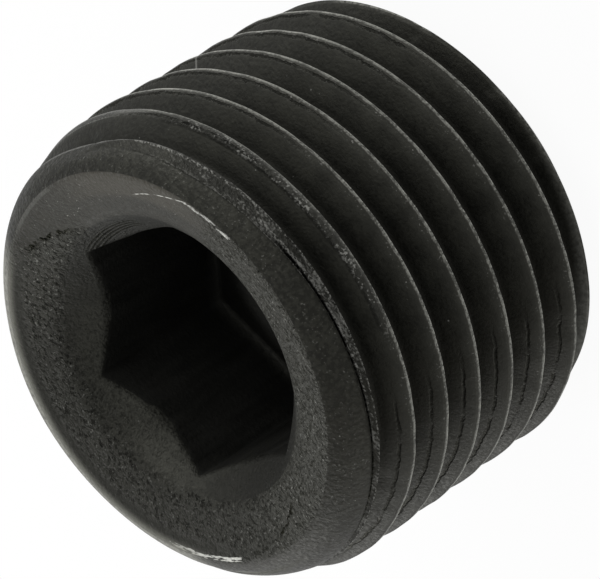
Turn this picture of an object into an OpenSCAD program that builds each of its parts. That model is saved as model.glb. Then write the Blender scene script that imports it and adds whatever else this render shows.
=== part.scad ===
// Headless screw plug with a tapered outside thread and a hexagon socket, in millimetres.
// It stands on its plain end with the axis on +Z, the socket on top and a socket corner towards +X.

/* [Thread] */
// Major diameter of the thread at the gauge plane
thread_d = 10; // [9:0.25:14]
// Height of the gauge plane above the plain end
gauge_h = 3.25; // [2:0.25:5]
// Pitch of the single-start right-hand thread
pitch = 1; // [0.75:0.05:1.5]
// Taper of the thread: length over which its diameter grows by one
taper_run = 16; // [12:1:40]
// Angle between the two flanks of the thread
flank_angle = 60; // [55:1:65]
// Width of the flat along the thread's crest
crest_flat = 0.125; // [0.05:0.005:0.2]
// Radius of the rounded thread root
root_r = 0.144; // [0.05:0.002:0.16]
// Angle from +X at which the crest line reaches the height of the rim
thread_turn = 40; // [0:1:359]

/* [Body] */
// Length from the plain end to the rim round the socket
length = 8; // [7:0.25:14]
// Width of the rounded shoulder from the rim to the thread's crest
shoulder_w = 0.92; // [0.7:0.02:1.1]
// Radius of the rounded shoulder
shoulder_r = 1.2; // [0.8:0.1:1.6]
// Slope of the shoulder from the end face at the rim
shoulder_lead = 25; // [10:1:35]
// Slope of the shoulder from the end face where it fades into the thread's crests
shoulder_fade = 76; // [60:1:80]
// Width of the chamfer at the plain end, measured across the axis
chamfer_w = 1.1; // [0.7:0.05:1.8]
// Slope of that chamfer from the end face
chamfer_angle = 40; // [25:1:50]
// Width of the flat land on top of the rim
rim_land = 0.1; // [0.04:0.02:0.2]

/* [Socket] */
// Width of the hexagon across its flats
socket_af = 5; // [4:0.05:5.4]
// Depth of the socket floor's edge below the rim
socket_depth = 4.25; // [3.8:0.05:5]
// Slope of the conical middle of the socket floor
floor_angle = 15; // [5:1:30]
// Width of the flat ledge between the hexagon's flats and the floor's cone
floor_land = 0.1; // [0.05:0.05:0.5]
// Width of the countersink outside the hexagon's corners
countersink_w = 0.32; // [0.15:0.01:0.4]
// Slope of the countersink from the end face
countersink_angle = 45; // [35:1:50]
// Slope of the dished face between the countersink and the rim
dish_angle = 18; // [8:1:25]
// Distance of the socket's centre from the thread's axis
socket_shift = 0.1; // [0:0.01:0.15]
// Distance of the centre of the shoulder, rim and dished face from the thread's axis
end_shift = 0.065; // [0:0.005:0.09]
// Angle from +X at which the socket and that end lie off the thread's axis
shift_turn = 341; // [0:1:359]

/* [Quality] */
// Facets in one turn of the thread
turn_steps = 72; // [48:12:96]

/* [Hidden] */
round_steps = 96;
shoulder_steps = 6;

// Radius of the thread's crest at a height above the plain end
function crest_radius(z) = (thread_d + (z - gauge_h) / taper_run) / 2;

// Thread profile from a crest to the next one, as [height above the crest line, depth below the crest]
half_flank = flank_angle / 2;
root_half = root_r * cos(half_flank);
flank_run = (pitch - crest_flat) / 2 - root_half;
flank_depth = flank_run / tan(half_flank);
thread_depth = flank_depth + root_r * (1 - sin(half_flank));
thread_profile = [
    [-crest_flat / 2, 0],
    [crest_flat / 2, 0],
    [pitch / 2 - root_half, flank_depth],
    [pitch / 2, thread_depth],
    [pitch / 2 + root_half, flank_depth]
];

// The thread runs on past both ends, where the chamfer and the shoulder then cut it off
turn_rows = len(thread_profile);
spare_turns = 2;
first_turn = -ceil(length / pitch) - spare_turns;
turns = ceil(length / pitch) + 2 * spare_turns;
rows = turns * turn_rows;

// Height of a thread row at an angle, and the point of that row
function row_height(row, angle) =
    length
    + pitch * (first_turn + floor(row / turn_rows) + (angle - thread_turn) / 360)
    + thread_profile[row % turn_rows][0];
function row_point(row, step) =
    let(
        angle = 360 * step / turn_steps,
        z = row_height(row, angle),
        r = crest_radius(z) - thread_profile[row % turn_rows][1]
    )
    [r * cos(angle), r * sin(angle), z];

// Index of a row's point: one full turn on, a row carries on as the same row of the next turn
function at(row, step) =
    step < turn_steps ? row * turn_steps + step : at(row + turn_rows, step - turn_steps);

// Ends of the bar: each is a fan round the axis over one turn of a row and the step between two turns
top_row = rows - 1;
bottom_tip = rows * turn_steps;
top_tip = bottom_tip + 1;
bottom_edge = concat(
    [for (step = [0 : turn_steps]) at(0, step)],
    [for (row = [turn_rows - 1 : -1 : 0]) at(row, 0)]
);
top_edge = concat(
    [for (step = [0 : turn_steps - 1]) at(top_row, step)],
    [for (row = [top_row - 1 : -1 : top_row - turn_rows]) at(row, turn_steps - 1)],
    [at(top_row, 0)]
);

// End faces and socket, as radii and heights
top_radius = crest_radius(length);
rim_radius = top_radius - shoulder_w;
end_radius = crest_radius(0) - chamfer_w;
hexagon_radius = socket_af / 2 / cos(30);
countersink_radius = hexagon_radius + countersink_w;
dish_radius = rim_radius - rim_land;
dish_depth = (dish_radius - countersink_radius) * tan(dish_angle);
cut_spare = shoulder_w / 2;
floor_radius = socket_af / 2 - floor_land;
floor_drop = floor_radius * tan(floor_angle);
floor_z = length - socket_depth;

// Rounded shoulder from the rim outwards, then straight on at its last slope to clear the thread
function shoulder_point(slope) = [
    rim_radius + shoulder_r * (sin(slope) - sin(shoulder_lead)),
    length - shoulder_r * (cos(shoulder_lead) - cos(slope))
];
shoulder_end = shoulder_point(shoulder_fade);
outer_radius = max(top_radius, shoulder_end[0]) + crest_flat + end_shift;
shoulder = [
    [outer_radius, shoulder_end[1] - (outer_radius - shoulder_end[0]) * tan(shoulder_fade)],
    for (i = [shoulder_steps : -1 : 0])
        shoulder_point(shoulder_lead + (shoulder_fade - shoulder_lead) * i / shoulder_steps)
];

// Threaded bar: the tapered helical thread and its core, longer than the plug at both ends
module threaded_bar() {
    side = [
        for (row = [0 : rows - 2])
            for (step = [0 : turn_steps - 1])
                if (step < turn_steps - 1 || row + turn_rows < rows - 1)
                    each [
                        [at(row, step), at(row + 1, step), at(row + 1, step + 1)],
                        [at(row, step), at(row + 1, step + 1), at(row, step + 1)]
                    ]
    ];
    bottom = [
        for (i = [0 : len(bottom_edge) - 2])
            [bottom_tip, bottom_edge[i], bottom_edge[i + 1]]
    ];
    top = [
        for (i = [0 : len(top_edge) - 2])
            [top_tip, top_edge[i + 1], top_edge[i]]
    ];
    polyhedron(
        points = concat(
            [for (row = [0 : rows - 1]) for (step = [0 : turn_steps - 1]) row_point(row, step)],
            [[0, 0, row_height(0, 0)], [0, 0, row_height(top_row, 360)]]
        ),
        faces = concat(side, bottom, top)
    );
}

// Outline of the plain end: its flat and its chamfer, then straight up past the rim
module plain_end() {
    rotate_extrude($fn = round_steps)
        polygon([
            [0, 0],
            [end_radius, 0],
            [outer_radius, (outer_radius - end_radius) * tan(chamfer_angle)],
            [outer_radius, length + cut_spare],
            [0, length + cut_spare]
        ]);
}

// Outline of the socket end: its rim and rounded shoulder, then straight down past the plain end
module socket_end() {
    rotate_extrude($fn = round_steps)
        polygon([
            [0, -cut_spare],
            [outer_radius, -cut_spare],
            each shoulder,
            [0, length]
        ]);
}

// Places its children off the axis, as forging left the socket end
module off_centre(shift) {
    translate([shift * cos(shift_turn), shift * sin(shift_turn), 0])
        children();
}

// Cone that is cut to a radius at a height, and runs on past that height at its own slope
module cone_cut(radius, height, slope) {
    reach = radius + cut_spare;
    translate([0, 0, height - radius * tan(slope)])
        cylinder(h = reach * tan(slope), r1 = 0, r2 = reach, $fn = round_steps);
}

// Hexagon socket with a shallow conical floor
module hexagon_socket() {
    translate([0, 0, floor_z])
        cylinder(h = length, r = hexagon_radius, $fn = 6);
    translate([0, 0, floor_z - floor_drop])
        cylinder(h = floor_drop, r1 = 0, r2 = floor_radius, $fn = round_steps);
}

module plug() {
    color("#33352f")
        difference() {
            intersection() {
                threaded_bar();
                plain_end();
                off_centre(end_shift)
                    socket_end();
            }
            off_centre(end_shift)
                cone_cut(dish_radius, length, dish_angle);
            off_centre(socket_shift) {
                cone_cut(countersink_radius, length - dish_depth, countersink_angle);
                hexagon_socket();
            }
        }
}

plug();
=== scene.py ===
"""A black-oxide steel screw plug with a hexagon socket, standing on its plain end under studio light.

Lengths are in millimetres until the mesh is written, and angles are in degrees from +X round the axis.
"""
import math

import bpy
import numpy as np
from mathutils import Matrix, Vector


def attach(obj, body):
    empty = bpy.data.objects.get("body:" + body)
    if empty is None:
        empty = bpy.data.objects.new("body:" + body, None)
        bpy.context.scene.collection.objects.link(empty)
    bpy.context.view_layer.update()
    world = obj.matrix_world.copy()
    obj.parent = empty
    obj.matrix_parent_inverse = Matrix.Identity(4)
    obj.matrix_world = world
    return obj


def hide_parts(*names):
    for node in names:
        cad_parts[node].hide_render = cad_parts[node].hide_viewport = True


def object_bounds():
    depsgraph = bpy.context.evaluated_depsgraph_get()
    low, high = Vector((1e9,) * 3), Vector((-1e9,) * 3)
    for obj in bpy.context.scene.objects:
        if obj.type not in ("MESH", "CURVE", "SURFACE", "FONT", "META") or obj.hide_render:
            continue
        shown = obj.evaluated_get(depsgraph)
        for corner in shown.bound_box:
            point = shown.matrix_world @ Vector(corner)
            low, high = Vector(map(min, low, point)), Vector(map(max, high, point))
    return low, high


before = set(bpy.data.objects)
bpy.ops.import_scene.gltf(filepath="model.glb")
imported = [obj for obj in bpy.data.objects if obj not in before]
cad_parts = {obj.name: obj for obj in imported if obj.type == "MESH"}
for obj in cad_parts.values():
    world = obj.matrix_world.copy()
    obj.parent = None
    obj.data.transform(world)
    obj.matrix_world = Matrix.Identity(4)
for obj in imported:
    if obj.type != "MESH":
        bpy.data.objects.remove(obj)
cad_low, cad_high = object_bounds()

# The threaded outside. The plug is a forged steel blank, and its taper thread is rolled, so the crests
# are a little uneven and lapped. A chamfer leads in at the plain end, and a rounded shoulder at the
# socket end cuts the first crests low. Both ends lie slightly off the thread's axis.
MM = 0.001
length = cad_high.z / MM
pitch = 1.0
gauge_radius = 5.0
gauge_height = 3.25
taper = 1 / 32
half_flank = math.radians(30)
crest_half = 0.0625
crest_round = 0.035
root_radius = 0.144
thread_turn = 40
chamfer_width = 1.1
chamfer_slope = math.radians(40)
shoulder_width = 0.92
shoulder_radius = 1.2
shoulder_lead = math.radians(25)
shoulder_fade = math.radians(76)
cut_round = 0.02
end_shift = 0.065
shift_turn = math.radians(341)

# Columns round the axis and thread rows in a pitch; the columns are a multiple of both 6 and the rows
columns = 384
rows_per_pitch = 24
row_step = pitch / rows_per_pitch
skin_rows = 188

angle = np.arange(columns) * 360 / columns
turn = np.radians(angle)
lean = end_shift * np.cos(turn - shift_turn)
crest_height = length + pitch * (angle - thread_turn) / 360


def angle_from(middle):
    """Angle of each column from a given one, the shorter way round: from -180 to 180."""
    return (angle - middle + 180) % 360 - 180


def crest_radius(z):
    """Radius of the crests: the gauge radius, growing by the taper with the height above the gauge plane."""
    return gauge_radius + (z - gauge_height) * taper


def smooth_min(a, b, width):
    """The lower of two values, with the corner where they cross rounded over the given width.

    Where they differ by less than the width they are mixed, less the width times both their shares.
    """
    share = np.clip(0.5 + 0.5 * (b - a) / width, 0, 1)
    return b + (a - b) * share - width * share * (1 - share)


def thread_depth(offset):
    """Depth below the crest at a distance along the axis from the nearest crest line.

    A flat crest, then a straight flank that falls by the distance over the tangent of half the
    thread angle, then a round root, which is an arc that the flank runs into without a corner.
    """
    reach = np.abs(offset)
    flank = (reach - crest_half) / math.tan(half_flank)
    crest = -smooth_min(-flank, 0.0, crest_round)
    arc_half = root_radius * math.cos(half_flank)
    arc_start = (pitch / 2 - arc_half - crest_half) / math.tan(half_flank)
    arc_centre = arc_start - root_radius * math.sin(half_flank)
    from_root = np.minimum(pitch / 2 - reach, arc_half)
    arc = arc_centre + np.sqrt(root_radius**2 - from_root**2)
    return np.where(reach > pitch / 2 - arc_half, arc, crest)


rim_radius = crest_radius(length) - shoulder_width
end_radius = crest_radius(0.0) - chamfer_width


def shoulder_reach(z):
    """Radius of the rounded shoulder at a height: an arc from the rim, then straight at its last slope."""
    lowest = length - shoulder_radius * (math.cos(shoulder_lead) - math.cos(shoulder_fade))
    cosine = math.cos(shoulder_lead) - (length - np.maximum(z, lowest)) / shoulder_radius
    arc = rim_radius + shoulder_radius * (np.sqrt(1 - cosine**2) - math.sin(shoulder_lead))
    return arc + np.maximum(lowest - z, 0) / math.tan(shoulder_fade)


# Heights of the skin's rows: each column starts a share of a step higher, so that the rows follow the helix
row_start = (crest_height / row_step - 0.5) % 1 + 0.5
skin_z = row_step * (np.arange(skin_rows - 1)[:, None] + row_start[None, :])

# Rolling has raised the first crest to a lip with a fold in front of it. Going left round the axis, the
# lip gets lower and ends; going right, its fold lies further back. The rows near the fold move with it.
fold_middle = -114
fold_left, fold_right = 82, 118
fold_fade = 20
fold_depth = 0.05
fold_far = pitch / 2
fold_row, lip_row = -2, -3
pull_start_row, pull_end_row = -rows_per_pitch / 2, 7
fold_bearing = angle_from(fold_middle)
fold_line = np.interp(
    fold_bearing,
    [-60, -40, 0, 20, 45, 70],
    [-0.165, -0.13, -0.08, -0.03, -0.04, -0.17])
lip_drop = np.interp(
    fold_bearing,
    [-95, -55, -15, 25, 45, 65, 85],
    [0.3, 0.19, 0.03, 0.075, 0.16, 0.26, 0.36])
fold_reach = np.where(fold_bearing < 0, fold_right, fold_left)
fold_share = np.clip((fold_reach - np.abs(fold_bearing)) / fold_fade, 0, 1)
first_crest = crest_height - pitch * (angle > thread_turn)
rows_ahead = np.round((skin_z - first_crest) / row_step)
fold_pull = np.interp(rows_ahead, [pull_start_row, lip_row, fold_row, pull_end_row], [0, 1, 1, 0])
skin_z = skin_z + fold_share * fold_pull * (fold_line - fold_row * row_step)
fold_distance = np.clip(skin_z - first_crest - fold_line, -fold_far, fold_far)


def ripple(amount, turns, waves_up, seed):
    """Uneven working of the metal: a sum of cosine waves round the axis and along it, with seeded phases."""
    waves = 8
    draw = np.random.default_rng(seed)
    total = np.zeros_like(skin_z)
    for _ in range(waves):
        around = draw.integers(1, turns)
        along = draw.uniform(-waves_up, waves_up)
        total += np.cos(around * turn + along * skin_z + draw.uniform(0, 2 * math.pi))
    return amount * total / (waves / 2)


def bell(at_angle, at_height, width, tall, amount):
    """A bell-shaped patch on the skin, with its middle at an angle and a height.

    It is the amount times e to the minus squares of two distances from the middle: the one round
    the axis, counted in widths, and the one along it, counted in heights of the patch.
    """
    sideways = np.radians(angle_from(at_angle)) * gauge_radius
    return amount * np.exp(-((sideways / width) ** 2) - ((skin_z - at_height) / tall) ** 2)


# The skin is the thread, cut by the shoulder and by the chamfer, with the lip left standing and the fold
crest_offset = (skin_z - crest_height + pitch / 2) % pitch - pitch / 2
crest_wear = ripple(amount=0.012, turns=40, waves_up=6.0, seed=11)
thread = crest_radius(skin_z) - thread_depth(crest_offset) - np.maximum(crest_wear, 0)
shoulder = shoulder_reach(skin_z) + lean
on_lip = (rows_ahead <= lip_row) & (rows_ahead > pull_start_row)
lip = np.where(on_lip, np.minimum(thread, crest_radius(skin_z) - lip_drop), thread)
lip_rise = np.clip(lip - shoulder, 0, None) * (rows_ahead <= lip_row) * fold_share
chamfer = end_radius + skin_z / math.tan(chamfer_slope) - lean
skin_r = smooth_min(thread, shoulder + lip_rise, cut_round)
skin_r = smooth_min(skin_r, chamfer, cut_round)
skin_r = skin_r - fold_depth * fold_share * (rows_ahead == fold_row)

# Knocks, each with its angle, height, width, tallness and depth: three nicks in the chamfer's edge, a notch
# where the thread starts, two broad worn stretches, and two that keep the second crest in the solid's box
knocks = [
    (-69, 0.94, 0.10, 0.08, 0.06),
    (-94, 0.85, 0.14, 0.07, 0.05),
    (-114, 0.82, 0.10, 0.07, 0.05),
    (-28.7, 7.14, 0.22, 0.10, 0.08),
    (-4, 6.93, 1.8, 0.3, 0.08),
    (-32, 7.58, 1.1, 0.2, 0.07),
    (180, 6.39, 1.2, 0.15, 0.036),
    (-90, 6.64, 1.2, 0.15, 0.038),
]
for knock in knocks:
    skin_r = skin_r - bell(*knock)

# On one side the shoulder is a little fuller near the rim, by an amount that is square to its slope
swell = 0.05
swell_slope = math.radians(52)
swell_angle, swell_height, swell_radius = 62, 7.84, 4.47
swell_width, swell_tall, swell_reach = 2.3, 0.2, 0.13
skin_r = skin_r + bell(swell_angle, swell_height, swell_width, swell_tall, swell / math.cos(swell_slope))

# How far the shoulder or the chamfer has cut the thread away: none on the thread and all on the cut
cut_fade = 0.06
skin_cut = np.clip((thread - np.minimum(shoulder + lip_rise, chamfer)) / cut_fade, 0, 1)

# The plain end. The flat end of the same steel blank, from the axis out to the chamfer, is turned
# square to the axis. The plug stands on it here.
end_stops = np.array([0.35, 0.7, 0.93, 1.0])[:, None]
end_r = np.repeat(end_radius * end_stops, columns, 1)
end_z = np.zeros_like(end_r)

# The socket end. The blank is forged with a dished face and a hexagon socket that sits slightly off
# centre, and a countersink leads in to the hexagon, whose six flats cut it in scallops.
rim_land = 0.1
dish_slope = math.radians(18)
socket_shift = 0.1
socket_flats = 5.0
socket_depth = 4.25
countersink_width = 0.32
countersink_slope = math.radians(45)
floor_slope = math.radians(15)
floor_land = 0.1
rim_round = 0.03
dish_round = 0.1
mouth_round = 0.02
corner_round = 0.05

hexagon_corner = socket_flats / 2 / math.cos(math.radians(30))
countersink_radius = hexagon_corner + countersink_width
dish_radius = rim_radius - rim_land
dish_drop = (dish_radius - countersink_radius) * math.tan(dish_slope)
from_flat = np.radians(np.abs(angle % 60 - 30))
near_flat = socket_flats / 2 / np.cos(from_flat)
next_flat = socket_flats / 2 / np.cos(math.radians(60) - from_flat)
hexagon_r = smooth_min(near_flat, next_flat, corner_round)
floor_z = length - socket_depth
floor_tip = floor_z - (socket_flats / 2 - floor_land) * math.tan(floor_slope)


def face_height(r):
    """Height of the socket end at a radius: the lowest of shoulder, rim, dish and countersink, rounded."""
    sine = np.clip((r - rim_radius) / shoulder_radius + math.sin(shoulder_lead), -1, 1)
    shoulder_z = length - shoulder_radius * (math.cos(shoulder_lead) - np.sqrt(1 - sine**2))
    dish_z = length - (dish_radius - r) * math.tan(dish_slope)
    cone_z = length - dish_drop - (countersink_radius - r) * math.tan(countersink_slope)
    rim = smooth_min(smooth_min(shoulder_z, length, rim_round), dish_z, rim_round)
    return smooth_min(rim, cone_z, dish_round)


# Rows of the face: up the last of the shoulder, over the rim, down the dish and into the countersink
shoulder_rows = 5
shoulder_top = shoulder_reach(np.array([skin_rows * row_step]))[0]
face_stops = np.concatenate([
    np.linspace(shoulder_top, rim_radius + 0.03, shoulder_rows),
    np.linspace(rim_radius, dish_radius - 0.08, 8),
    np.linspace(dish_radius - 0.16, countersink_radius + 0.34, 6),
    np.linspace(countersink_radius + 0.26, countersink_radius - 0.1, 10),
])
face_r = np.repeat(face_stops[:, None], columns, 1)
swell_round = np.exp(-((np.radians(angle_from(swell_angle)) * gauge_radius / swell_width) ** 2))
swell_across = np.exp(-(((face_r - swell_radius) / swell_reach) ** 2))
face_z = face_height(face_r) + swell / math.sin(swell_slope) * swell_round * swell_across

# Rows of the socket: down the countersink to the hexagon's mouth, down its walls and in over its floor
lead_stops = np.array([0.25, 0.5, 0.75, 0.9, 0.97])[:, None]
lead_r = face_r[-1] + (hexagon_r + mouth_round - face_r[-1]) * lead_stops
lead_z = face_height(lead_r)
mouth_z = face_height(hexagon_r)
wall_stops = np.concatenate([[0.02, 0.05], np.linspace(0.12, 1, 9)])[:, None]
wall_r = np.repeat(hexagon_r[None, :], len(wall_stops), 0)
wall_z = mouth_z + (floor_z - mouth_z) * wall_stops
floor_stops = np.array([0.97, 0.8, 0.6, 0.4, 0.2])[:, None]
floor_r = hexagon_r * floor_stops
floor_cone = floor_z - (socket_flats / 2 - floor_land - floor_r) * math.tan(floor_slope)
floor_fall = np.minimum(floor_cone, floor_z)

# The plug in one piece. The rows above are stacked to one closed skin, from the plain end over the thread
# and the face down to the socket's floor. The real plug is one piece too, and nothing is fixed to it.
rows_r = np.vstack([end_r, skin_r, face_r, lead_r, wall_r, floor_r])
rows_z = np.vstack([end_z, skin_z, face_z, lead_z, wall_z, floor_fall])
first_skin = len(end_r)
first_face = first_skin + len(skin_r)
first_lead = first_face + len(face_r)
first_wall = first_lead + len(lead_r)
row_count = len(rows_r)


def off_centre(shift):
    """X and Y of a centre that lies off the thread's axis: the shift times its turn's cosine and sine."""
    return shift * math.cos(shift_turn), shift * math.sin(shift_turn)


# Sideways shift of the rows: the plain end's, none on the thread, then the rim's and the socket's
row_shift = np.full((row_count, 1), socket_shift)
row_shift[:first_skin] = -end_shift
row_shift[first_skin:first_face] = 0
row_shift[first_face:first_lead, 0] = np.interp(
    face_stops, [countersink_radius, dish_radius], [socket_shift, end_shift])
shift_x, shift_y = off_centre(row_shift)
x = rows_r * np.cos(turn) + shift_x
y = rows_r * np.sin(turn) + shift_y
points = np.stack([x, y, rows_z], axis=-1).reshape(-1, 3)
points = np.vstack([points, [[*off_centre(-end_shift), 0], [*off_centre(socket_shift), floor_tip]]])

# Triangles between neighbouring rows and columns, with the diagonal along the helix, and a fan at each pole
here = np.arange(row_count * columns).reshape(row_count, columns)
beside = np.roll(here, -1, axis=1)
lower = np.stack([here[:-1], beside[:-1], beside[1:]], axis=-1).reshape(-1, 3)
upper = np.stack([here[:-1], beside[1:], here[1:]], axis=-1).reshape(-1, 3)
end_pole = row_count * columns
end_fan = np.stack([np.full(columns, end_pole), beside[0], here[0]], axis=-1)
floor_fan = np.stack([np.full(columns, end_pole + 1), here[-1], beside[-1]], axis=-1)
triangles = np.vstack([lower, upper, end_fan, floor_fan])

# The finishes by row: thread and shoulder, then the face from the rim inwards, then the socket's walls
thread_finish, face_finish, socket_finish = 0, 1, 2
rim_row = first_face + shoulder_rows - 1
strip_finish = np.full(row_count - 1, thread_finish)
strip_finish[rim_row:] = face_finish
strip_finish[first_wall:] = socket_finish
strip_finish = np.repeat(strip_finish, columns)
triangle_finish = np.concatenate([
    strip_finish, strip_finish, np.full(columns, thread_finish), np.full(columns, socket_finish)])

plug_mesh = bpy.data.meshes.new("screw_plug")
plug_mesh.from_pydata(points * MM, [], triangles)
plug_mesh.polygons.foreach_set("use_smooth", np.ones(len(triangles), bool))
plug_mesh.polygons.foreach_set("material_index", triangle_finish)

# Values that the mesh carries for the finishes, each with what it is away from the threaded skin
carried = {"fold": (fold_far, fold_distance), "lip": (0.0, fold_share), "cut": (1.0, skin_cut)}
for value_name, (elsewhere, on_skin) in carried.items():
    point_values = np.full(len(points), elsewhere)
    point_values[here[first_skin:first_face]] = on_skin
    plug_mesh.attributes.new(value_name, "FLOAT", "POINT").data.foreach_set("value", point_values)

plug = bpy.data.objects.new("screw_plug", plug_mesh)
bpy.context.scene.collection.objects.link(plug)
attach(plug, "root")
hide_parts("plug")

# The black oxide. A chemical bath turns the steel matt black, and the roots are painted darker as shade. It
# is worn to grey along the crests and the rim, which also carry painted highlights, and the rolled thread
# shows laps, specks and fine streaks along the helix.
# A finish is put together by the short functions that follow.


def put(tree, socket, value):
    """Link a socket to another one, or set it to a plain number, vector or colour."""
    if isinstance(value, bpy.types.NodeSocket):
        tree.links.new(value, socket)
    else:
        socket.default_value = value


def put_all(tree, sockets, values):
    """Link or set the first sockets in turn."""
    for socket, value in zip(sockets, values):
        put(tree, socket, value)


def calc(tree, operation, *values):
    """One step of arithmetic on numbers and sockets."""
    node = tree.nodes.new("ShaderNodeMath")
    node.operation = operation
    put_all(tree, node.inputs, values)
    return node.outputs[0]


def vector_calc(tree, operation, *values):
    """One step of arithmetic on vectors; a length comes out as a number."""
    node = tree.nodes.new("ShaderNodeVectorMath")
    node.operation = operation
    put_all(tree, node.inputs, values)
    return node.outputs["Value" if operation == "LENGTH" else "Vector"]


def chain(tree, operation, first, *others):
    """Several values taken together, one after the other, by the same step of arithmetic."""
    result = first
    for value in others:
        result = calc(tree, operation, result, value)
    return result


def product(tree, *values):
    """All the values multiplied."""
    return chain(tree, "MULTIPLY", *values)


def added(tree, *values):
    """All the values added."""
    return chain(tree, "ADD", *values)


def largest(tree, *values):
    """The largest of the values."""
    return chain(tree, "MAXIMUM", *values)


def outside(tree, mask):
    """A mask turned round: 1 where it was 0."""
    return calc(tree, "SUBTRACT", 1.0, mask)


def swayed(tree, value, spots, amount):
    """A value moved to and fro by soft spots: plus the amount times how far the spots are above one half."""
    return calc(tree, "MULTIPLY_ADD", calc(tree, "SUBTRACT", spots, 0.5), amount, value)


def rise(tree, value, start, end, low=0.0, high=1.0):
    """A smooth climb from low to high while the value goes from start to end."""
    node = tree.nodes.new("ShaderNodeMapRange")
    node.interpolation_type = "SMOOTHSTEP"
    put_all(tree, node.inputs, (value, start, end, low, high))
    return node.outputs["Result"]


def near(tree, value, middle, half, fade):
    """A mask that is 1 within half of the middle value, and fades to 0 beyond that."""
    away = calc(tree, "ABSOLUTE", calc(tree, "SUBTRACT", value, middle))
    return rise(tree, away, half + fade, half)


def sector(tree, bearing, middle, half, fade):
    """A mask for a sector round the axis: 1 within half of the middle angle, fading to 0 beyond that."""
    away = calc(tree, "WRAP", calc(tree, "SUBTRACT", bearing, middle), 180, -180)
    return rise(tree, calc(tree, "ABSOLUTE", away), half + fade, half)


def cloud(tree, where, scale, detail=2.0):
    """Soft random spots about 0.5, with so many to a millimetre and so many finer layers."""
    node = tree.nodes.new("ShaderNodeTexNoise")
    put(tree, node.inputs["Vector"], where)
    put(tree, node.inputs["Scale"], scale)
    node.inputs["Detail"].default_value = detail
    return node.outputs["Fac"]


def axes_of(tree, vector):
    """The X, Y and Z of a vector."""
    node = tree.nodes.new("ShaderNodeSeparateXYZ")
    put(tree, node.inputs[0], vector)
    return node.outputs


def vector_of(tree, *numbers):
    """A vector put together from its numbers."""
    node = tree.nodes.new("ShaderNodeCombineXYZ")
    put_all(tree, node.inputs, numbers)
    return node.outputs[0]


def blend(tree, share, first, second):
    """The first colour where the share is 0, the second where it is 1."""
    node = tree.nodes.new("ShaderNodeMix")
    node.data_type = "RGBA"
    put(tree, node.inputs[0], share)
    put(tree, node.inputs[6], first)
    put(tree, node.inputs[7], second)
    return node.outputs[2]


def tinted(tree, colour, tint, *shares):
    """A colour with a tint laid over it, as strongly as all the shares multiplied."""
    return blend(tree, product(tree, *shares), colour, tint)


def grey(level, warmth=0.07):
    """A grey of the given level, with a little less blue."""
    return (level, level, level * (1 - warmth), 1)


def new_group(name, inputs, outputs):
    """An empty node group with the named inputs and outputs, each given with its kind."""
    group = bpy.data.node_groups.new(name, "ShaderNodeTree")
    for way, sockets in (("INPUT", inputs), ("OUTPUT", outputs)):
        for socket_name, kind in sockets.items():
            group.interface.new_socket(socket_name, in_out=way, socket_type="NodeSocket" + kind)
    return group, group.nodes.new("NodeGroupInput").outputs, group.nodes.new("NodeGroupOutput").inputs


# Where a spot is on the plug: its height and angle, its distance along the axis from the nearest crest line,
# and its radii from the centres of the rim and of the socket
place_group, place_in, place_out = new_group(
    "place_on_plug",
    {"Spot": "Vector"},
    {"Height": "Float", "Angle": "Float", "Offset": "Float", "Radius": "Float", "Socket Radius": "Float"})
for radius_name, shift in (("Radius", end_shift), ("Socket Radius", socket_shift)):
    from_centre = vector_calc(place_group, "SUBTRACT", place_in["Spot"], (*off_centre(shift), 0))
    across = vector_calc(place_group, "MULTIPLY", from_centre, (1, 1, 0))
    put(place_group, place_out[radius_name], vector_calc(place_group, "LENGTH", across))
axes = axes_of(place_group, place_in["Spot"])
spot_angle = calc(place_group, "DEGREES", calc(place_group, "ARCTAN2", axes["Y"], axes["X"]))
from_start = calc(place_group, "SUBTRACT", spot_angle, thread_turn)
climb = calc(place_group, "MULTIPLY_ADD", from_start, pitch / 360, length)
above_crest = calc(place_group, "SUBTRACT", axes["Z"], climb)
put(place_group, place_out["Height"], axes["Z"])
put(place_group, place_out["Angle"], spot_angle)
put(place_group, place_out["Offset"], calc(place_group, "WRAP", above_crest, pitch / 2, -pitch / 2))

# The oxide's own unevenness: broad clouds, fine grain, and a few tiny bare specks
speck_scale, speck_radius = 5, 0.11
oxide_group, oxide_in, oxide_out = new_group(
    "oxide_grain",
    {"Spot": "Vector", "Fineness": "Float"},
    {"Mottle": "Float", "Grain": "Float", "Specks": "Float"})
mottle = cloud(oxide_group, oxide_in["Spot"], 1.1, 4)
put(oxide_group, oxide_out["Mottle"], rise(oxide_group, mottle, 0.3, 0.7))
grain = cloud(oxide_group, oxide_in["Spot"], oxide_in["Fineness"], 3)
put(oxide_group, oxide_out["Grain"], rise(oxide_group, grain, 0.25, 0.75))
cells = oxide_group.nodes.new("ShaderNodeTexVoronoi")
put(oxide_group, cells.inputs["Vector"], oxide_in["Spot"])
cells.inputs["Scale"].default_value = speck_scale
cell_draw = oxide_group.nodes.new("ShaderNodeSeparateColor")
put(oxide_group, cell_draw.inputs[0], cells.outputs["Color"])
speck_size = rise(oxide_group, cell_draw.outputs["Red"], 0.8, 1.0, 0.0, speck_radius)
speck_edge = calc(oxide_group, "SUBTRACT", speck_size, cells.outputs["Distance"])
put(oxide_group, oxide_out["Specks"], rise(oxide_group, speck_edge, 0.0, 0.04))


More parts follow.
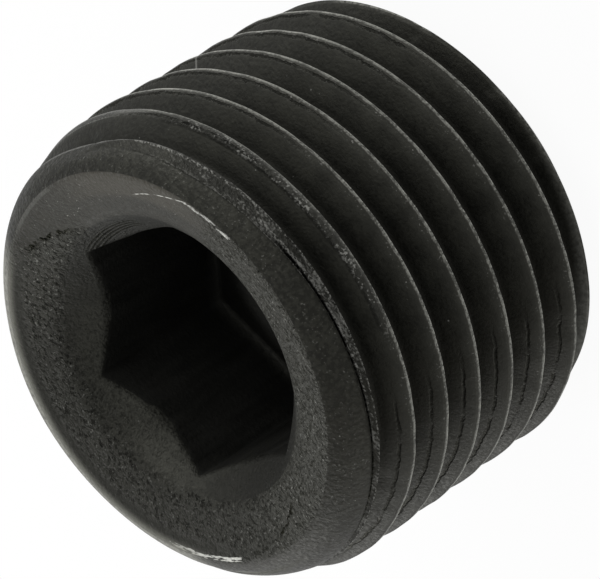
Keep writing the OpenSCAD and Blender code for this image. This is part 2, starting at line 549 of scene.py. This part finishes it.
def new_finish(name, fineness):
    """A material on the plug, with the spot in millimetres, and the place and the grain there."""
    finish = bpy.data.materials.new(name)
    finish.use_nodes = True
    tree = finish.node_tree
    coordinates = tree.nodes.new("ShaderNodeTexCoord")
    spot = vector_calc(tree, "MULTIPLY", coordinates.outputs["Object"], (1 / MM, 1 / MM, 1 / MM))
    place = tree.nodes.new("ShaderNodeGroup")
    place.node_tree = place_group
    put(tree, place.inputs["Spot"], spot)
    oxide = tree.nodes.new("ShaderNodeGroup")
    oxide.node_tree = oxide_group
    put(tree, oxide.inputs["Spot"], spot)
    oxide.inputs["Fineness"].default_value = fineness
    plug_mesh.materials.append(finish)
    return tree, spot, place.outputs, oxide.outputs


def finish_off(tree, colour, roughness, metallic, height):
    """Link the shader of a material, with its height in millimetres as bump."""
    shader = tree.nodes["Principled BSDF"]
    shader.inputs["Specular IOR Level"].default_value = 0.25
    shader.inputs["Specular Tint"].default_value = (1, 1, 0.86, 1)
    put(tree, shader.inputs["Base Color"], colour)
    put(tree, shader.inputs["Roughness"], roughness)
    put(tree, shader.inputs["Metallic"], metallic)
    bump = tree.nodes.new("ShaderNodeBump")
    bump.inputs["Distance"].default_value = MM
    put(tree, bump.inputs["Height"], height)
    put(tree, shader.inputs["Normal"], bump.outputs[0])


# The finish of the thread and the shoulder. The oxide is worn to thin light lines along the crests, with a
# painted highlight on their rear edges, the roots are painted darker as shade, and rolling has left dark laps
# beside them.
tree, spot, place, oxide = new_finish("oxide_thread", 16)
offset, bearing, height = place["Offset"], place["Angle"], place["Height"]


def mark(tree, name):
    """The value that the mesh carries under a name."""
    node = tree.nodes.new("ShaderNodeAttribute")
    node.attribute_name = name
    return node.outputs["Fac"]


fold, lip_share, cut = mark(tree, "fold"), mark(tree, "lip"), mark(tree, "cut")
on_thread = outside(tree, cut)

# Its patterns: streaks that are drawn out along the helix, and soft spots of four sizes
axes = axes_of(tree, spot)
stretch, squeeze = 0.3, 3.0
along_helix = vector_of(
    tree,
    product(tree, axes["X"], stretch),
    product(tree, axes["Y"], stretch),
    product(tree, offset, squeeze))
streaks = cloud(tree, along_helix, 5, 3)
crumbs = cloud(tree, spot, 18, 3)
lumps = cloud(tree, spot, 10, 4)
clumps = cloud(tree, spot, 2.2, 3)
sways = cloud(tree, spot, 3, 3)
worn_spots = calc(tree, "MULTIPLY_ADD", clumps, 0.6, crumbs)
worn = rise(tree, worn_spots, 0.68, 0.92)

# Its tone: coarser on the cut shoulder and at the upper left, lighter at the upper left as painted light,
# darker in the roots as painted shade, brownish at the lower right
tone = added(
    tree,
    product(tree, oxide["Mottle"], 0.45),
    product(tree, oxide["Grain"], 0.35),
    product(tree, streaks, 0.3),
    -0.05)
upper_left = product(tree, sector(tree, bearing, -5, 35, 30), on_thread)
grainy = largest(tree, cut, calc(tree, "MULTIPLY_ADD", upper_left, 0.6, 0.15))
tone = swayed(tree, tone, lumps, product(tree, grainy, 8.0))
tone = swayed(tree, tone, clumps, 1.5)
colour = blend(tree, tone, grey(0.0038, 0.15), grey(0.013, 0.18))
# Painted shade: the roots are darkened, as if shaded between the crests
root_shade = product(tree, rise(tree, calc(tree, "ABSOLUTE", offset), 0.2, 0.48), on_thread)
colour = tinted(tree, colour, grey(0.002), root_shade, 0.85)
# Painted light: the thread at the upper left is lightened, as if lit from that side
colour = tinted(tree, colour, grey(0.03), upper_left, 0.3)
colour = tinted(tree, colour, (0.009, 0.0075, 0.005, 1), sector(tree, bearing, 178, 30, 30), 0.35)

# The crests: a soft light halo in front, a thin worn line that is lighter at the upper left as painted light,
# and strewn bits of bare steel
halo = product(tree, near(tree, offset, 0.07, 0.04, 0.10), on_thread)
colour = tinted(tree, colour, grey(0.03, 0.12), halo, clumps, 0.5)
crest_line = swayed(tree, swayed(tree, offset, sways, 0.035), lumps, 0.06)
crest_band = product(tree, near(tree, crest_line, -0.018, 0.022, 0.04), on_thread)
# Painted light: the worn crest line is lighter at the upper left, the lit side
crest_grey_lit_left = blend(tree, upper_left, grey(0.15, 0.1), grey(0.25, 0.1))
colour = tinted(tree, colour, crest_grey_lit_left, crest_band, calc(tree, "MULTIPLY_ADD", worn, 0.75, 0.25))
strewn = product(tree, near(tree, offset, 0.02, 0.04, 0.08), on_thread, rise(tree, clumps, 0.4, 0.65))
colour = tinted(tree, colour, grey(0.13), strewn, rise(tree, cloud(tree, spot, 22, 2), 0.62, 0.7))

# The shoulder: light dust in loose groups, and a strip at the left below the rim that carries a painted
# grazing highlight
dust = product(tree, cut, rise(tree, cloud(tree, spot, 20, 2), 0.63, 0.72))
colour = tinted(tree, colour, grey(0.08), dust, rise(tree, clumps, 0.42, 0.62, 0.1, 1.0))
lit_left_side = (70, 48, 14)
# Painted highlight: a grazing reflection along the left outline, below the rim
left_strip_highlight = product(tree, cut, sector(tree, bearing, *lit_left_side), rise(tree, place["Radius"], 4.75, 4.55))
colour = tinted(tree, colour, grey(0.2, 0.12), left_strip_highlight, rise(tree, lumps, 0.3, 0.6, 0.5, 1.0))

# The crests' rear edges, with a painted highlight on the two lit sides and worn bright bits elsewhere, and a
# rough second crest
lit_sides = largest(tree, sector(tree, bearing, -25, 45, 25), sector(tree, bearing, 170, 25, 20))
edge_share = largest(tree, product(tree, lit_sides, 0.9), rise(tree, worn_spots, 0.7, 0.88))
crest_edge_wear_and_highlight = product(tree, near(tree, crest_line, -0.048, 0.008, 0.018), on_thread, edge_share)
colour = tinted(tree, colour, grey(0.3, 0.08), crest_edge_wear_and_highlight)
rough_crest = product(
    tree,
    near(tree, offset, 0.05, 0.05, 0.05),
    near(tree, height, 6.75, 0.3, 0.15),
    sector(tree, bearing, -90, 30, 14))
colour = tinted(tree, colour, blend(tree, lumps, grey(0.001), grey(0.03)), rough_crest, 0.7)
colour = tinted(tree, colour, grey(0.17), rough_crest, rise(tree, worn_spots, 0.84, 1.0))

# The lip of the first crest: light streaks on it, crumbs on its edge and its front, and some shed before it
lip_range = product(tree, lip_share, sector(tree, bearing, -142, 72, 12))
lip_band = product(tree, near(tree, fold, -0.1, 0.09, 0.03), lip_range)
lip_grey = blend(tree, streaks, grey(0.002), grey(0.028))
colour = tinted(tree, colour, lip_grey, lip_band, sector(tree, bearing, -98, 24, 20), 0.7)
lip_grain = calc(tree, "MULTIPLY_ADD", streaks, 0.6, product(tree, added(tree, lumps, crumbs), 0.4))
lip_crumbs = product(tree, rise(tree, lip_grain, 0.7, 0.82), rise(tree, clumps, 0.35, 0.6, 0.3, 1.0))
colour = tinted(tree, colour, grey(0.14), lip_band, lip_crumbs)
lip_edge = product(tree, near(tree, fold, -0.046, 0.005, 0.009), lip_share)
colour = tinted(tree, colour, grey(0.2), lip_edge, rise(tree, crumbs, 0.46, 0.6))
lip_front = product(tree, near(tree, fold, -0.013, 0.003, 0.005), lip_range)
lip_front = product(tree, lip_front, sector(tree, bearing, -116, 20, 12))
colour = tinted(tree, colour, grey(0.17), lip_front, rise(tree, crumbs, 0.45, 0.58))
shed = product(tree, near(tree, fold, 0.02, 0.012, 0.016), lip_share, sector(tree, bearing, -84, 20, 12))
colour = tinted(tree, colour, grey(0.12), shed, rise(tree, crumbs, 0.45, 0.57))

# The ridges that the shoulder and the chamfer leave on the thread, and the chamfer, which is worn grey and
# lightened further by painted light bounced up from the floor
ridge = product(tree, near(tree, cut, 0.5, 0.15, 0.3), outside(tree, lip_range))
colour = tinted(tree, colour, grey(0.09), ridge, calc(tree, "MULTIPLY_ADD", worn, 0.6, 0.4))
rear_ridge = product(tree, near(tree, cut, 0.5, 0.2, 0.28), rise(tree, height, 1.5, 1.3))
colour = tinted(tree, colour, grey(0.16, 0.1), rear_ridge, rise(tree, lumps, 0.4, 0.6))
# Painted light and wear: the chamfer by the plain end is lightened, as if lit from the floor below
chamfer_wear_and_bounce = rise(tree, lumps, 0.35, 0.65, 0.4, 0.9)
colour = tinted(tree, colour, grey(0.07, 0.1), rise(tree, height, 0.86, 0.74), chamfer_wear_and_bounce)

# Dark seams: laps beside the crests at the lower right and at the upper left, and the slit of the fold. Then
# one short scratch and the bare specks
right_line = swayed(tree, swayed(tree, offset, sways, 0.05), lumps, 0.03)
right_laps = product(tree, near(tree, right_line, 0.2, 0.004, 0.02), sector(tree, bearing, -174, 22, 10))
right_laps = product(tree, right_laps, rise(tree, clumps, 0.35, 0.5, 0.2, 0.8))
left_line = swayed(tree, swayed(tree, offset, sways, 0.06), crumbs, 0.06)
left_laps = product(tree, near(tree, left_line, 0.085, 0.008, 0.015), sector(tree, bearing, -40, 30, 20))
left_laps = product(tree, left_laps, rise(tree, clumps, 0.35, 0.5, 0.3, 1.0))
laps = product(tree, largest(tree, right_laps, left_laps), on_thread)
slit = product(tree, near(tree, fold, -0.002, 0.004, 0.007), lip_range, sector(tree, bearing, -152, 50, 14))
slit = product(tree, slit, rise(tree, lumps, 0.36, 0.5, 0.45, 1.0))
seams = largest(tree, product(tree, laps, 0.6), slit)
colour = tinted(tree, colour, grey(0.001), seams)
scratch = product(tree, sector(tree, bearing, -29.5, 0.15, 0.3), near(tree, height, 3.9, 0.25, 0.1))
colour = tinted(tree, colour, grey(0.16), largest(tree, scratch, oxide["Specks"]), 0.8)

# Its relief; the seams, and the roots as painted shade, are black as metal, so that they don't shine
thread_bump = added(
    tree,
    product(tree, oxide["Grain"], 0.003),
    product(tree, streaks, 0.002),
    product(tree, crest_band, crumbs, 0.015),
    product(tree, largest(tree, rough_crest, lip_band), lumps, 0.05),
    product(tree, grainy, lumps, 0.022),
    product(tree, laps, -0.02))
thread_rough = rise(tree, oxide["Grain"], 0, 1, 0.45, 0.6)
# Metallic: partly on the crests' painted highlight, fully on the seams, and partly in the roots as painted
# shade
thread_metal = largest(tree, product(tree, crest_edge_wear_and_highlight, 0.6), seams, product(tree, root_shade, 0.4))
finish_off(tree, colour, thread_rough, thread_metal, thread_bump)

# The finish of the face round the socket. The dish has a coarse forged grain with a smoother top, a brown
# and a dark patch and a crack, the countersink is smooth, and the rim is rubbed to bare steel on two sides.
tree, spot, place, oxide = new_finish("oxide_face", 17)
radius, bearing, socket_radius = place["Radius"], place["Angle"], place["Socket Radius"]
crumbs = cloud(tree, spot, 9, 3)
pits = rise(tree, cloud(tree, spot, 11, 4), 0.34, 0.56)
fine = rise(tree, cloud(tree, spot, 24, 2), 0.3, 0.7)
patches = rise(tree, cloud(tree, spot, 3, 3), 0.35, 0.65)

# The dish: pits and fine grain, faint in a band at the left, on the brown patch and on the smoother top,
# whose border is a line that climbs outwards with the angle
border_radius, border_climb, border_low = 3.662, 0.029, 3.1
border = largest(tree, calc(tree, "MULTIPLY_ADD", bearing, border_climb, border_radius), border_low)
past_border = swayed(tree, calc(tree, "SUBTRACT", radius, border), crumbs, 0.25)
plain_top = product(tree, sector(tree, bearing, -35, 38, 12), rise(tree, past_border, -0.04, 0.04))
plain_band = product(tree, sector(tree, bearing, 75, 50, 25), rise(tree, radius, 3.8, 3.97))
brown = product(tree, sector(tree, bearing, -51, 12, 25), near(tree, radius, 4.0, 0.2, 0.2))
grained = calc(tree, "MULTIPLY_ADD", largest(tree, plain_band, plain_top, brown), -0.8, 1.0)
grained = product(tree, grained, rise(tree, patches, 0, 1, 0.6, 1.0))
tone = added(tree, product(tree, fine, 0.4), product(tree, pits, 0.6), -0.5)
tone = added(tree, product(tree, tone, grained, 1.3), 0.45)
colour = blend(tree, tone, grey(0.0005, 0.15), grey(0.032, 0.15))
colour = tinted(tree, colour, (0.034, 0.031, 0.027, 1), plain_top, 0.3)
colour = tinted(tree, colour, grey(0.014), plain_top, patches, 0.35)
chips = product(tree, plain_top, rise(tree, cloud(tree, spot, 13, 2), 0.68, 0.73))
colour = tinted(tree, colour, grey(0.16), chips, near(tree, radius, 3.8, 0.25, 0.15))
colour = tinted(tree, colour, grey(0.15), rise(tree, cloud(tree, spot, 16, 2), 0.62, 0.7), grained)
# Painted shade: the dish is darkened on its left and lower side, away from the light
colour = tinted(tree, colour, grey(0.003), sector(tree, bearing, 95, 50, 30), 0.46)
colour = tinted(tree, colour, (0.052, 0.047, 0.038, 1), brown, 0.6)
dark = product(tree, sector(tree, bearing, -1, 8, 5), near(tree, past_border, -0.02, 0.04, 0.06))
dark = product(tree, dark, rise(tree, cloud(tree, spot, 9, 3), 0.58, 0.42))
colour = tinted(tree, colour, grey(0.001), dark)

# The countersink: smooth, with painted light at the lower left and painted shade at the right and the upper
# left, and with fine turned rings by one corner of the hexagon.
# Its edge on the dish is clear on two sides and fades elsewhere.
ring_pitch, ring_radius = 0.058, 2.83
rings = calc(tree, "SINE", product(tree, socket_radius, 2 * math.pi / ring_pitch))
ringed = product(tree, sector(tree, bearing, -20, 14, 10), near(tree, socket_radius, ring_radius, 0.1, 0.06))
rings = product(tree, rings, ringed)
ring_lines = product(tree, rise(tree, rings, 0.2, 0.9), 0.8)
clear_edge = largest(tree, sector(tree, bearing, 160, 30, 25), sector(tree, bearing, -40, 22, 15))
edge_fade = rise(tree, clear_edge, 0, 1, 0.16, 0.03)
edge_inset = 0.1
edge_away = calc(tree, "SUBTRACT", socket_radius, countersink_radius - edge_inset)
edge_away = swayed(tree, edge_away, crumbs, 0.1)
countersink = rise(tree, calc(tree, "DIVIDE", edge_away, edge_fade), 1, -1)
smooth_tone = added(
    tree,
    product(tree, oxide["Mottle"], 0.5),
    product(tree, oxide["Grain"], 0.3),
    product(tree, rings, 0.5))
smooth_tone = swayed(tree, swayed(tree, smooth_tone, pits, 0.25), fine, 0.5)
# Painted light: the countersink is lighter at the lower left
countersink_painted_light = blend(tree, sector(tree, bearing, 80, 35, 40), grey(0.012, 0.15), grey(0.036, 0.15))
colour = tinted(tree, colour, blend(tree, smooth_tone, grey(0.003, 0.12), countersink_painted_light), countersink)
# Painted shade: the countersink is darkened on its right side
colour = tinted(tree, colour, grey(0.002), countersink, sector(tree, bearing, 155, 25, 20), 0.6)
# Painted shade: the countersink is darkened at the upper left
colour = tinted(tree, colour, grey(0.002), countersink, sector(tree, bearing, -40, 25, 15), 0.7)
colour = tinted(tree, colour, grey(0.001), ring_lines)


def slanted(tree, bearing, radius, at_angle, at_radius, slope):
    """How far a spot at a bearing and a radius lies outside a slanted line on the face.

    The line has a given radius at a given angle, and its radius falls by the slope with each degree.
    """
    line_drop = product(tree, calc(tree, "SUBTRACT", bearing, at_angle), slope)
    return calc(tree, "SUBTRACT", added(tree, radius, line_drop), at_radius)


# The crack, a wavering dark line across the dish
crack_angle, crack_radius, crack_slope = 169, 3.83, 0.0257
crack_away = slanted(tree, bearing, radius, crack_angle, crack_radius, crack_slope)
crack_away = swayed(tree, crack_away, cloud(tree, spot, 5, 3), 0.35)
crack = product(tree, near(tree, crack_away, 0, 0.012, 0.018), sector(tree, bearing, crack_angle, 5, 2))
colour = tinted(tree, colour, grey(0.001), crack)

# Rubbing follows the rim, so its spots are drawn out along it: angle on one axis, radius on the other
round_rim = vector_of(tree, product(tree, bearing, 0.14), product(tree, radius, 9.0))
rubs = cloud(tree, round_rim, 2, 4)
top_rub = product(tree, near(tree, radius, rim_radius - 0.02, 0.02, 0.04), sector(tree, bearing, -80, 7, 5))
low_rub = product(tree, near(tree, radius, rim_radius - 0.05, 0.03, 0.06), sector(tree, bearing, 129, 12, 7))
rub_share = largest(tree, top_rub, low_rub)
rubbed = rise(tree, swayed(tree, rub_share, rubs, 2.6), 0.8, 1.05)
broken = largest(tree, rise(tree, crumbs, 0.36, 0.52, 0.35, 1.0), rise(tree, low_rub, 0.0, 0.1))
rubbed = product(tree, rubbed, rise(tree, rub_share, 0.1, 0.4), broken)

# Bare scratches side by side, which slant in from the top of the rim
scratch_angle, scratch_radius, scratch_slope, scratch_gap = -71, 4.2, 0.0211, 0.05
scratch_away = slanted(tree, bearing, radius, scratch_angle, scratch_radius, scratch_slope)
scratch_lines = calc(tree, "PINGPONG", added(tree, scratch_away, scratch_gap), scratch_gap)
scratches = product(
    tree,
    near(tree, scratch_lines, scratch_gap, 0.006, 0.008),
    near(tree, scratch_away, 0, 0.06, 0.03),
    sector(tree, bearing, -62, 9, 3),
    rise(tree, rubs, 0.38, 0.58))
bare = largest(tree, rubbed, scratches)
colour = tinted(tree, colour, grey(0.5, 0.05), bare)

# The rest of the rim: a painted grazing highlight at the left, a streak at the upper left, and a thin broken
# line along its top
# Painted highlight: the rim at the left, lightened like a grazing reflection
left_rim_highlight = rise(tree, radius, rim_radius - 0.2, rim_radius + 0.02)
colour = tinted(tree, colour, grey(0.14, 0.14), sector(tree, bearing, *lit_left_side), left_rim_highlight, 0.85)
rim_streak = near(tree, radius, rim_radius - 0.01, 0.03, 0.04)
colour = tinted(tree, colour, grey(0.07), rim_streak, sector(tree, bearing, -8, 8, 5), 0.6)
rim_edge = near(tree, radius, rim_radius, 0.012, 0.03)
colour = tinted(tree, colour, grey(0.07), rim_edge, rise(tree, crumbs, 0.45, 0.65), 0.5)
colour = tinted(tree, colour, grey(0.12), oxide["Specks"], 0.6)

# Its relief; pits, crack, rings and the dark patch are black as metal, so that they don't shine
forged_grain = added(tree, product(tree, pits, 0.025), product(tree, fine, 0.008))
face_bump = added(
    tree,
    product(tree, forged_grain, grained, calc(tree, "MULTIPLY_ADD", countersink, -0.6, 1.0)),
    product(tree, oxide["Grain"], 0.004),
    product(tree, crack, -0.04),
    product(tree, rings, countersink, 0.004))
face_rough = rise(tree, oxide["Grain"], 0, 1, 0.5, 0.62)
pit_black = product(tree, outside(tree, pits), grained, outside(tree, countersink), 0.6)
face_metal = largest(tree, product(tree, bare, 0.9), crack, dark, pit_black, ring_lines)
finish_off(tree, colour, face_rough, face_metal, face_bump)

# The finish of the socket's walls and floor. They are nearly black, with faint marks that the forging
# punch has drawn down the flats, and a floor lightened by painted light inside an edge darkened by painted
# shade.
tree, spot, place, oxide = new_finish("oxide_socket", 12)
mark_stretch = (6, 6, 0.6)
marks = cloud(tree, vector_calc(tree, "MULTIPLY", spot, mark_stretch), 1, 3)
tone = added(tree, product(tree, marks, 0.5), product(tree, oxide["Mottle"], 0.4))
colour = blend(tree, tone, grey(0.003), grey(0.011))
colour = tinted(tree, colour, grey(0.05), oxide["Specks"], 0.3)
# Painted light: the socket's floor is lightened, as if lit
on_floor = rise(tree, place["Height"], floor_z + 0.1, floor_z)
colour = tinted(tree, colour, grey(0.036), on_floor)
# Painted shade: the floor's edge along the walls is darkened, and made partly metallic so that it doesn't
# shine
floor_edge_shade = product(tree, on_floor, rise(tree, place["Socket Radius"], 2.0, 2.4))
colour = tinted(tree, colour, grey(0.004), floor_edge_shade)
socket_bump = added(tree, product(tree, marks, 0.012), product(tree, oxide["Grain"], 0.006))
socket_rough = rise(tree, marks, 0.3, 0.7, 0.5, 0.65)
finish_off(tree, colour, socket_rough, product(tree, floor_edge_shade, 0.4), socket_bump)

# The floor: a plain white sheet under the plug, wide enough to fill every view. Seen directly, or in a
# reflection, most of it is plain white paper, and the rest takes the light and the plug's shadow.
floor_half = 1.5
white_share = 0.94
floor_mesh = bpy.data.meshes.new("floor")
floor_mesh.from_pydata(
    [(-floor_half, -floor_half, 0), (floor_half, -floor_half, 0),
     (floor_half, floor_half, 0), (-floor_half, floor_half, 0)], [], [(0, 1, 2, 3)])
floor = bpy.data.objects.new("floor", floor_mesh)
bpy.context.scene.collection.objects.link(floor)
paper = bpy.data.materials.new("white_paper")
paper.use_nodes = True
tree = paper.node_tree
paper_shader = tree.nodes["Principled BSDF"]
paper_shader.inputs["Base Color"].default_value = (0.9, 0.9, 0.9, 1)
paper_shader.inputs["Roughness"].default_value = 0.9
paper_shader.inputs["Specular IOR Level"].default_value = 0.1
rays = tree.nodes.new("ShaderNodeLightPath").outputs
seen = largest(tree, rays["Is Camera Ray"], rays["Is Glossy Ray"], rays["Is Transmission Ray"])
white = tree.nodes.new("ShaderNodeEmission")
paper_mix = tree.nodes.new("ShaderNodeMixShader")
put(tree, paper_mix.inputs[0], product(tree, seen, white_share))
put(tree, paper_mix.inputs[1], paper_shader.outputs[0])
put(tree, paper_mix.inputs[2], white.outputs[0])
put(tree, tree.nodes["Material Output"].inputs["Surface"], paper_mix.outputs[0])
floor_mesh.materials.append(paper)

# The light. Square soft boxes stand behind the plug, at its left and low around it, and a white room
# fills in evenly from all sides. Their distances and sizes are in metres and their power in watts.
view_angle = -109.3
aim_height = 4.055
middle = Vector((0, 0, aim_height * MM))
room_strength = 0.58


def way_to(round_axis, above):
    """The way from the plug to what stands at an angle round its axis and at an angle above the floor."""
    round_axis, above = math.radians(round_axis), math.radians(above)
    level = math.cos(above)
    return Vector((level * math.cos(round_axis), level * math.sin(round_axis), math.sin(above)))


def soft_box(name, side, above, distance, size, power):
    """A square lamp that faces the plug, at an angle round the axis from the camera's side and one above."""
    lamp = bpy.data.lights.new(name, "AREA")
    lamp.size = size
    lamp.energy = power
    box = bpy.data.objects.new(name, lamp)
    bpy.context.scene.collection.objects.link(box)
    way = way_to(view_angle + side, above)
    box.location = middle + way * distance
    box.rotation_mode = "QUATERNION"
    box.rotation_quaternion = way.to_track_quat("Z", "Y")


soft_box("back_light", side=180, above=35, distance=0.16, size=0.1, power=0.08)
soft_box("left_light", side=60, above=40, distance=0.16, size=0.1, power=0.065)
soft_box("low_left_light", side=92, above=14, distance=0.30, size=0.12, power=0.38)
soft_box("low_right_light", side=-90, above=12, distance=0.30, size=0.12, power=0.13)
soft_box("low_back_light", side=-140, above=14, distance=0.30, size=0.12, power=0.24)
world = bpy.data.worlds.new("studio")
bpy.context.scene.world = world
world.use_nodes = True
room = world.node_tree.nodes["Background"]
room.inputs["Color"].default_value = (1, 1, 1, 1)
room.inputs["Strength"].default_value = room_strength

# The camera. A long lens looks down on the socket end, and it is turned about its own axis, so that the
# plug seems to lie on its side as in the picture.
view_height = 37.79
image_width = 600
focal_pixels = 9810
camera_distance = 194.8 * MM
camera_turn = math.radians(-122.65)
aim_right, aim_up = -0.0199 * MM, -0.0695 * MM
camera_data = bpy.data.cameras.new("camera")
camera_data.lens = camera_data.sensor_width * focal_pixels / image_width
camera_data.clip_start = 1 * MM
camera = bpy.data.objects.new("camera", camera_data)
bpy.context.scene.collection.objects.link(camera)
upright = way_to(view_angle, view_height).to_track_quat("Z", "Y").to_matrix()
camera_axes = upright @ Matrix.Rotation(camera_turn, 3, "Z")
camera.rotation_mode = "QUATERNION"
camera.rotation_quaternion = camera_axes.to_quaternion()
camera.location = middle + camera_axes @ Vector((aim_right, aim_up, camera_distance))
bpy.context.scene.camera = camera
bpy.context.scene.view_settings.view_transform = "Standard"
